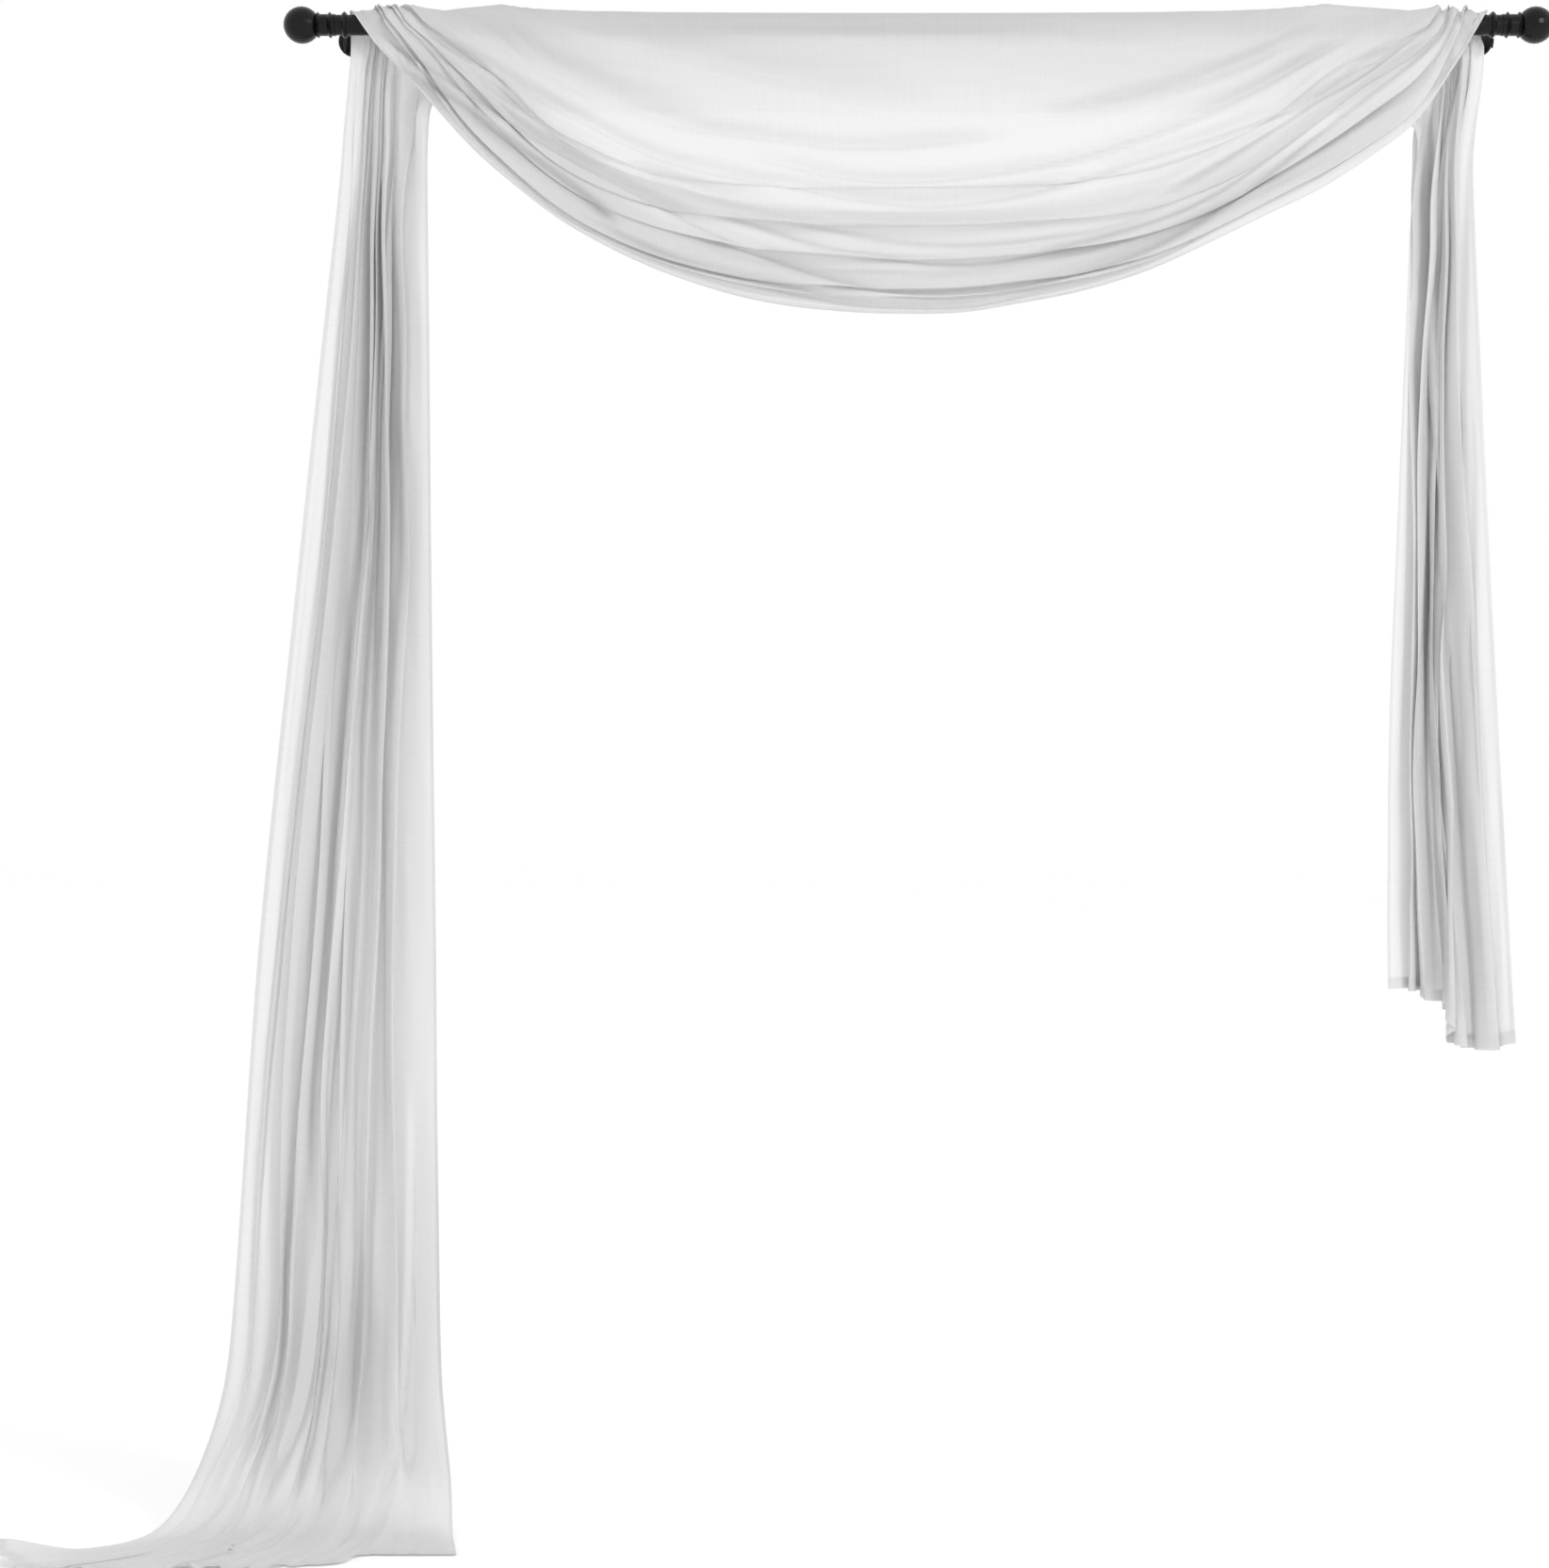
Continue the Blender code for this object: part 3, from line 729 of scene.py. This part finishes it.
def polyester_voile():
    """Fine spun polyester in an open plain weave.

    It gives the eye a matt white that lets some light through, and is denser where it doubles.
    """
    material, tree = new_material("polyester voile")
    place = add_node(tree, "ShaderNodeUVMap", settings={"uv_map": "flat cloth"}).outputs["UV"]
    slubs = []
    for size in ((SLUB_WIDTH, SLUB_LENGTH), (SLUB_LENGTH, SLUB_WIDTH)):
        stretch = (1 / size[0], 1 / size[1], 1.0)
        spread = add_node(tree, "ShaderNodeMapping", Vector=place, Scale=stretch).outputs["Vector"]
        slubs.append(add_node(tree, "ShaderNodeTexNoise", Vector=spread, Scale=1.0, Detail=3.0))
    weave = add_node(
        tree,
        "ShaderNodeMath",
        settings={"operation": "ADD"},
        n0=slubs[0].outputs["Fac"],
        n1=slubs[1].outputs["Fac"],
    )
    tone = add_node(
        tree,
        "ShaderNodeMix",
        settings={"data_type": "RGBA"},
        n0=weave.outputs["Value"],
        n6=linear(VOILE_SHADE),
        n7=linear(VOILE_WHITE),
    )
    cover = add_node(
        tree,
        "ShaderNodeMapRange",
        Value=weave.outputs["Value"],
        From_Min=0.6,
        From_Max=1.4,
        To_Min=SINGLE_LAYER_COVER - COVER_CHANGE,
        To_Max=SINGLE_LAYER_COVER + COVER_CHANGE,
    )
    bump = add_node(
        tree,
        "ShaderNodeBump",
        Strength=0.35,
        Distance=SLUB_HEIGHT,
        Height=weave.outputs["Value"],
    )
    front = add_node(
        tree,
        "ShaderNodeBsdfPrincipled",
        Base_Color=tone.outputs[2],
        Roughness=VOILE_ROUGHNESS,
        Normal=bump.outputs["Normal"],
    )
    front.inputs["Sheen Weight"].default_value = VOILE_SHEEN
    front.inputs["Specular IOR Level"].default_value = VOILE_SHINE
    glow = add_node(
        tree,
        "ShaderNodeBsdfTranslucent",
        Color=tone.outputs[2],
        Normal=bump.outputs["Normal"],
    )
    cloth = add_node(
        tree,
        "ShaderNodeMixShader",
        Fac=GLOW,
        n1=front.outputs["BSDF"],
        n2=glow.outputs["BSDF"],
    )
    gaps = add_node(tree, "ShaderNodeBsdfTransparent", Color=(1.0, 1.0, 1.0, 1.0))
    open_weave = add_node(
        tree,
        "ShaderNodeMixShader",
        Fac=cover.outputs["Result"],
        n1=gaps.outputs["BSDF"],
        n2=cloth.outputs["Shader"],
    )
    add_node(tree, "ShaderNodeOutputMaterial", Surface=open_weave.outputs["Shader"])
    return material


# The settled grid gets more points for its creases. The hanging tails and the middle of the swag
# change little along the scarf, so they get more columns but no more rows. Last, the corner of the
# cloth at the far end of the left hem turns up off the floor.
PLAIN_TAIL_TOP_Z = -0.38
PLAIN_TAIL_BOTTOM_Z = -1.82
SWAG_MIDDLE_X = 0.83
SWAG_PLAIN_REACH = 0.38
CREASED_ROW_PARTS = 2
COLUMN_PARTS = 3
TIP_SIZE = 0.09
TIP_RISE = 0.024

points, places = scarf_grid()
points = settled(points)
crosswise = np.array(PARTS_ACROSS) * CLOTH_WIDTH
heights = points[..., 2].mean(axis=1)
middles = points[..., 0].mean(axis=1)
plain = (heights < PLAIN_TAIL_TOP_Z) & (heights > PLAIN_TAIL_BOTTOM_Z)
plain |= np.abs(middles - SWAG_MIDDLE_X) < SWAG_PLAIN_REACH
row_parts = np.where(plain[:-1], 1, CREASED_ROW_PARTS)
rows = [row + part / parts for row, parts in enumerate(row_parts) for part in range(parts)]
rows = np.array(rows + [len(points) - 1.0])
column_count = (len(crosswise) - 1) * COLUMN_PARTS + 1
columns = np.linspace(0, len(crosswise) - 1, column_count)
places = np.interp(rows, np.arange(len(points)), places)
crosswise = np.interp(columns, np.arange(len(crosswise)), crosswise)
points = resampled(resampled(points, rows).swapaxes(0, 1), columns).swapaxes(0, 1)

in_swag = (points[..., 1] < CREASE_FRONT_Y) & (points[..., 2] > SWAG_BOTTOM_Z)
points = creased(points, SWAG_CREASES, in_swag, SWAG_CREASE_MOST)
near_floor = points[..., 2] < TAIL_CREASE_TOP_Z
points = creased(points, TAIL_CREASES, near_floor, TAIL_CREASE_MOST)
at_corner = eased(crosswise, CLOTH_WIDTH - TIP_SIZE, CLOTH_WIDTH)
at_end = eased(-places, -TIP_SIZE, 0.0)[:, None]
points[..., 2] += TIP_RISE * at_corner * at_end
points = kept_clear(points)

voile = polyester_voile()
scarf = grid_mesh("voile_scarf", points, places, crosswise)
scarf.data.materials.append(voile)
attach(scarf, "root")
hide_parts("scarf")

# Hems of the scarf
# Each short end is turned under once and stitched, and each selvedge has a narrow rolled hem. The
# doubled cloth is denser there, and firm enough to hold its edge.
END_HEM = 0.016
END_HEM_PARTS = 3
SIDE_HEM = 0.0045
SIDE_HEM_PARTS = 1
HEM_GAP = 0.0007


def normals_of(points):
    """The direction square to the sheet at each of its points, on the side away from the turned hem."""
    along = np.gradient(points, axis=0)
    over = np.gradient(points, axis=1)
    normals = np.cross(along, over)
    return normals / np.maximum(np.linalg.norm(normals, axis=-1, keepdims=True), 1e-9)


def strip_along(points, distances, depth, parts):
    """The rows of a grid from its first one in to a depth, at equal distances."""
    steps = np.linspace(0.0, depth, parts + 1)
    rows = []
    for step in steps:
        i = min(int(np.searchsorted(distances, step, side="right")) - 1, len(distances) - 2)
        share = (step - distances[i]) / (distances[i + 1] - distances[i])
        rows.append(points[i] * (1 - share) + points[i + 1] * share)
    return np.array(rows), steps


def make_hem(name, points, distances, depth, parts, along):
    """The layer turned under at the first row of a grid, in to this depth. It runs along the hem."""
    strip, steps = strip_along(points, distances, depth, parts)
    hem = grid_mesh(name, strip, steps, along)
    hem.data.materials.append(voile)
    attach(hem, "root")
    return hem


under = points - HEM_GAP * normals_of(points)
turned = under.swapaxes(0, 1)
from_right_end = places[-1] - places[::-1]
from_outer_edge = crosswise[-1] - crosswise[::-1]
hems = [
    make_hem("left_hem", under, places, END_HEM, END_HEM_PARTS, crosswise),
    make_hem("right_hem", under[::-1], from_right_end, END_HEM, END_HEM_PARTS, crosswise),
    make_hem("inner_selvedge_hem", turned, crosswise, SIDE_HEM, SIDE_HEM_PARTS, places),
    make_hem("outer_selvedge_hem", turned[::-1], from_outer_edge, SIDE_HEM, SIDE_HEM_PARTS, places),
]

# Studio
# A pale floor under an even white surround, bright all round so that a single layer glows, with one
# large soft key light from the right and a weaker fill from the left that shape the folds.
FLOOR_WHITE = "ffffff"
PAPER_ROUGHNESS = 0.95
FLOOR_REACH = 30.0
AIR_WHITE = "ffffff"
AIR_STRENGTH = 1.0


def make_floor():
    """A wide floor of plain matt paper, which gives the eye an even white without a shine."""
    corners = [(-1, -1), (1, -1), (1, 1), (-1, 1)]
    points = [(x * FLOOR_REACH, y * FLOOR_REACH, FLOOR_Z) for x, y in corners]
    mesh = bpy.data.meshes.new("pale floor")
    mesh.from_pydata(points, [], [(0, 1, 2, 3)])
    floor = bpy.data.objects.new("pale_floor", mesh)
    bpy.context.scene.collection.objects.link(floor)
    material, tree = new_material("pale matt paper")
    shader = add_node(
        tree,
        "ShaderNodeBsdfPrincipled",
        Base_Color=linear(FLOOR_WHITE),
        Roughness=PAPER_ROUGHNESS,
    )
    add_node(tree, "ShaderNodeOutputMaterial", Surface=shader.outputs["BSDF"])
    mesh.materials.append(material)
    return floor


def soft_light(name, place, aim, size, watts):
    """A square soft box, turned towards its aim."""
    light = bpy.data.lights.new(name, "AREA")
    light.shape = "SQUARE"
    light.size = size
    light.energy = watts
    lamp = bpy.data.objects.new(name, light)
    lamp.location = place
    lamp.rotation_euler = (Vector(aim) - Vector(place)).to_track_quat("-Z", "Y").to_euler()
    bpy.context.scene.collection.objects.link(lamp)


make_floor()
soft_light("key light", place=(3.8, -3.6, 0.8), aim=(0.8, -0.1, -0.9), size=1.3, watts=58)
soft_light("fill light", place=(-2.2, -3.8, -0.6), aim=(0.4, -0.1, -1.0), size=2.4, watts=3)
world = bpy.context.scene.world or bpy.data.worlds.new("studio air")
bpy.context.scene.world = world
world.use_nodes = True
air = world.node_tree.nodes["Background"]
air.inputs["Color"].default_value = linear(AIR_WHITE)
air.inputs["Strength"].default_value = AIR_STRENGTH
